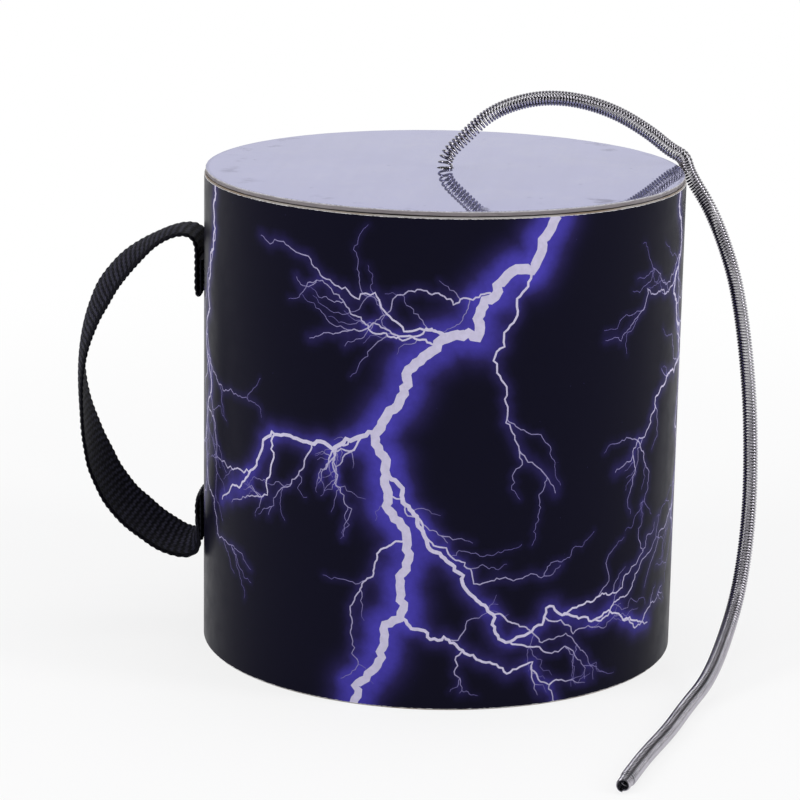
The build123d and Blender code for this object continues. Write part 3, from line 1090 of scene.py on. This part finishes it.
def build_strap(look):
    """Woven webbing: ribbed on both faces, twisted along the loop, flat on the wall at its tabs."""
    line = strap_line()
    reach, heading, _ = carried_frames(line, (1, 0, 0))
    rows = round(reach[-1] / look.rib * 6)
    lengths = np.linspace(0, reach[-1], rows + 1)
    centre = at_lengths(lengths, reach, line)
    ahead = unit(at_lengths(lengths, reach, heading))
    across = np.array([0.0, 1.0, 0.0])
    outwards = np.cross(ahead, across)
    out = -centre[:, 0] - WRAP_RADIUS
    free = np.clip((out - CURL_START) / CURL_RUN, 0, 1)
    free = free * free * (3 - 2 * free)
    stations, twists = np.array(STRAP_TWIST).T
    twist = look.twist * np.interp(lengths, stations * MM, np.radians(twists))
    soft = np.hanning(2 * round(9 * MM / lengths[1]) + 1)
    twist = np.convolve(np.pad(twist, len(soft) // 2), soft / soft.sum(), mode="valid")
    wide = across * np.cos(twist)[:, None] + outwards * np.sin(twist)[:, None]
    thick = np.cross(ahead, wide)
    columns = 3 * look.ends + 1
    share = np.linspace(-1, 1, columns)
    edge = np.array([0.55, 0.0, -0.55])
    places = np.concatenate([share, np.ones(3), share[::-1], -np.ones(3)])
    faces_up = np.concatenate([np.ones(columns), edge, -np.ones(columns), -edge])
    round_edge = np.array([0.35, 0.5, 0.35])
    bulge = np.concatenate([np.zeros(columns), round_edge, np.zeros(columns), -round_edge])
    bundle = np.floor((places + 1) / 2 * look.ends)
    lift = np.abs(np.cos(math.pi * (lengths[:, None] / look.rib + 0.16 * (bundle % 2)))) ** 0.8
    crown = np.abs(np.sin(math.pi * (places + 1) / 2 * look.ends)) ** 0.5
    ribs = lift * (0.7 + 0.3 * crown)
    scallop = 1 + 0.014 * np.cos(math.tau * lengths / look.rib) + 0.012 * np.sin(lengths * 420)
    sideways = (places * look.width / 2)[None] * scallop[:, None] + bulge * look.thickness
    relief = look.thickness / 2 - look.relief * (1 - ribs)
    height = faces_up * relief
    cup = free[:, None] * look.cup * (places**2 - 0.4)
    hug = (1 - free)[:, None] * (WRAP_RADIUS - np.sqrt(WRAP_RADIUS**2 - sideways**2))
    points = centre[:, None] + wide[:, None] * sideways[..., None]
    points = points + thick[:, None] * (height + cup)[..., None]
    points[..., 0] += hug
    ring = len(places)
    faces = grid_faces(rows + 1, ring, round_columns=True) + end_faces(rows + 1, ring)
    piece = new_piece("webbing_handle", points.reshape(-1, 3), faces, webbing_finish(look))
    # Share of the paler rib-top colour, wear and painted highlight, at each point; the woven edges get
    # little of it
    hold(piece, "rib_top", "POINT", ribs * np.where(np.abs(places) > 0.95, 0.2, 1.0))
    return piece


class THUNDERTUBE_OT_strap(bpy.types.Operator):
    """Weave the webbing handle."""

    bl_idname = "thunder_tube.strap"
    bl_label = "Handle"

    def execute(self, context):
        piece = build_strap(context.scene.thunder_tube.strap)
        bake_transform(piece)
        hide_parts("strap")
        return {"FINISHED"}


# Metal parts


def build_rivet(name, low, high, finish, steps=40):
    """A domed rivet along X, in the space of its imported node."""
    head = (high.y - low.y) / 2
    axis_z = (low.z + high.z) / 2
    face = low.x + RIVET_HEAD
    rise = np.linspace(0.12, math.pi / 2, 9)
    dome = [(face - RIVET_DOME * math.cos(a), head * math.sin(a) ** 0.9) for a in rise]
    shank = head * 4 / 9
    profile = dome + [(face, head * 0.96), (face, shank), (high.x - 1.0 * MM, shank)]
    profile += [(high.x - 1.0 * MM, head * 0.7), (high.x - 0.25 * MM, head * 0.73), (high.x, head * 0.6)]
    turn = np.linspace(0, math.tau, steps, endpoint=False)
    points = [(x, r * math.cos(a), axis_z + r * math.sin(a)) for x, r in profile for a in turn]
    faces = grid_faces(len(profile), steps, round_columns=True) + end_faces(len(profile), steps)
    return new_piece(name, points, faces, finish)


class THUNDERTUBE_OT_metal(bpy.types.Operator):
    """Make the rivets, and plate the washers and the anchor's pin."""

    bl_idname = "thunder_tube.metal"
    bl_label = "Rivets and anchor"

    def execute(self, context):
        finish = plating_finish(context.scene.thunder_tube.metal)
        for node in ("anchor_washer", "anchor_pin", "upper_rivet_washer", "lower_rivet_washer"):
            dress_node(node, finish)
        for node in ("upper_rivet", "lower_rivet"):
            piece = build_rivet("domed_" + node, *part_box(node), finish)
            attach(piece, "drum")
            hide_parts(node)
        return {"FINISHED"}


# Stage


def seen_by_eye(tree):
    """1 for rays from the camera or sent on by metal and clear things, and 1 for the camera's alone."""
    path = add_node(tree, "LightPath").outputs
    mirrored = sum_of(tree, "MAXIMUM", path["Is Glossy Ray"], path["Is Transmission Ray"])
    return sum_of(tree, "MAXIMUM", path["Is Camera Ray"], mirrored), path["Is Camera Ray"]


def light_world(look):
    """White backdrop all round, a dim room above it, and soft light on everything."""
    world = bpy.data.worlds.new("Studio")
    world.use_nodes = True
    bpy.context.scene.world = world
    tree = world.node_tree
    tree.nodes.clear()
    direction = add_node(tree, "TexCoord").outputs["Generated"]
    parts = parts_of(tree, direction)
    above = fade(tree, parts["Z"], 0.45, 0.75, 1.0, look.room)
    near = fade(tree, parts["Y"], -0.7, 0.1, look.near_room, 1.0)
    aside = fade(tree, sum_of(tree, "ABSOLUTE", parts["X"]), 0.28, 0.75, 1.0, look.side_room)
    shade = sum_of(tree, "MULTIPLY", sum_of(tree, "MULTIPLY", above, near), aside)
    seen, camera = seen_by_eye(tree)
    shown = sum_of(tree, "MAXIMUM", shade, camera)
    backdrop = add_node(tree, "Background", {"Color": WHITE, "Strength": shown})
    ambient = add_node(tree, "Background", {"Color": WHITE, "Strength": look.ambient})
    both = add_node(tree, "MixShader", {0: seen, 1: ambient.outputs[0], 2: backdrop.outputs[0]})
    out = add_node(tree, "OutputWorld")
    tree.links.new(both.outputs[0], out.inputs["Surface"])


def floor_finish(look):
    """Pale floor that keeps the shadow and shows nearly white."""
    finish, tree, shader = new_finish("Pale floor", Roughness=0.9, Specular_IOR_Level=0.0)
    place = place_on_piece(tree)
    cloud = fade(tree, noise(tree, place, 8.0), 0.3, 0.7, 0.0, 0.1)
    shade = mixed(tree, cloud, look.floor, darker(look.floor, 0.97))
    link(tree, shade, shader, "Base Color")
    seen, _ = seen_by_eye(tree)
    white = add_node(tree, "Emission", {"Color": WHITE, "Strength": 1.0})
    from_drum = add_node(tree, "VectorMath", {0: place}, operation="LENGTH").outputs["Value"]
    share = sum_of(tree, "MULTIPLY", seen, fade(tree, from_drum, 0.2, 0.75, 0.78, 1.0))
    both = add_node(tree, "MixShader", {0: share, 1: shader.outputs[0], 2: white.outputs[0]})
    tree.links.new(both.outputs[0], tree.nodes["Material Output"].inputs["Surface"])
    return finish


def add_floor(look, size=6.0):
    """A wide floor just under the drum."""
    half = size / 2
    corners = [(-half, -half, 0), (half, -half, 0), (half, half, 0), (-half, half, 0)]
    floor = new_piece("floor", corners, [(0, 1, 2, 3)], floor_finish(look))
    floor.location.z = -0.05 * MM


def add_lamp(name, place, target, power, width, height):
    """A soft rectangular lamp that faces a point."""
    lamp = bpy.data.lights.new(name, "AREA")
    lamp.shape = "RECTANGLE"
    lamp.size, lamp.size_y = width, height
    lamp.energy = power
    made = bpy.data.objects.new(name, lamp)
    made.location = place
    made.rotation_mode = "QUATERNION"
    made.rotation_quaternion = (Vector(target) - Vector(place)).to_track_quat("-Z", "Y")
    bpy.context.scene.collection.objects.link(made)


def add_camera(look):
    """The camera, at the photograph's angle."""
    turn, rise = look.azimuth, look.elevation
    back = Vector((math.sin(turn) * math.cos(rise), -math.cos(turn) * math.cos(rise), math.sin(rise)))
    right = Vector((math.cos(turn), math.sin(turn), 0))
    up = right.cross(-back)
    middle = Vector((0, 0, FILM_HIGH.z / 2))
    camera = bpy.data.cameras.new("Camera")
    camera.lens = look.lens
    camera.sensor_width = 36
    camera.clip_end = 50
    made = bpy.data.objects.new("Camera", camera)
    made.location = middle + back * look.distance
    aim = middle - right * look.aside + up * look.above
    facing = (aim - made.location).to_track_quat("-Z", "Y")
    made.rotation_mode = "QUATERNION"
    made.rotation_quaternion = facing @ Quaternion((0, 0, 1), look.roll)
    bpy.context.scene.collection.objects.link(made)
    bpy.context.scene.camera = made


class THUNDERTUBE_OT_stage(bpy.types.Operator):
    """Set the floor, the light and the camera."""

    bl_idname = "thunder_tube.stage"
    bl_label = "Stage"

    def execute(self, context):
        look = context.scene.thunder_tube.stage
        context.scene.view_settings.view_transform = "Standard"
        middle = (0, 0, FILM_HIGH.z / 2)
        light_world(look)
        add_floor(look)
        for name, power, place, size in LAMPS:
            add_lamp(name, place, middle, getattr(look, power), *size)
        add_camera(look)
        return {"FINISHED"}


PIECES = (
    THUNDERTUBE_OT_tube,
    THUNDERTUBE_OT_wrap,
    THUNDERTUBE_OT_head,
    THUNDERTUBE_OT_metal,
    THUNDERTUBE_OT_spring,
    THUNDERTUBE_OT_strap,
    THUNDERTUBE_OT_stage,
)


class THUNDERTUBE_PT_pieces(bpy.types.Panel):
    """Buttons that build the thunder tube, and its settings."""

    bl_label = "Thunder Tube"
    bl_space_type = "VIEW_3D"
    bl_region_type = "UI"
    bl_category = "Thunder Tube"

    def draw(self, context):
        column = self.layout.column()
        for piece in PIECES:
            column.operator(piece.bl_idname)
        looks = context.scene.thunder_tube
        for group in looks.bl_rna.properties:
            if group.type == "POINTER" and group.identifier != "rna_type":
                box = column.box()
                box.label(text=group.fixed_type.description)
                look = getattr(looks, group.identifier)
                for setting in look.bl_rna.properties:
                    if setting.identifier not in ("rna_type", "name"):
                        box.prop(look, setting.identifier)


SETTINGS = (
    TubeSettings,
    PrintSettings,
    HeadSettings,
    SpringSettings,
    StrapSettings,
    MetalSettings,
    StageSettings,
    ThunderTubeSettings,
)


def register():
    """Add the classes and the scene's settings."""
    for made in SETTINGS + PIECES + (THUNDERTUBE_PT_pieces,):
        bpy.utils.register_class(made)
    bpy.types.Scene.thunder_tube = PointerProperty(type=ThunderTubeSettings)


def unregister():
    """Take the classes and the scene's settings away."""
    del bpy.types.Scene.thunder_tube
    for made in reversed(SETTINGS + PIECES + (THUNDERTUBE_PT_pieces,)):
        bpy.utils.unregister_class(made)


def main():
    """Build every piece in order."""
    register()
    bpy.ops.thunder_tube.tube()
    bpy.ops.thunder_tube.wrap()
    bpy.ops.thunder_tube.head()
    bpy.ops.thunder_tube.metal()
    bpy.ops.thunder_tube.spring()
    bpy.ops.thunder_tube.strap()
    bpy.ops.thunder_tube.stage()
    bpy.context.view_layer.update()


if __name__ == "__main__":
    main()
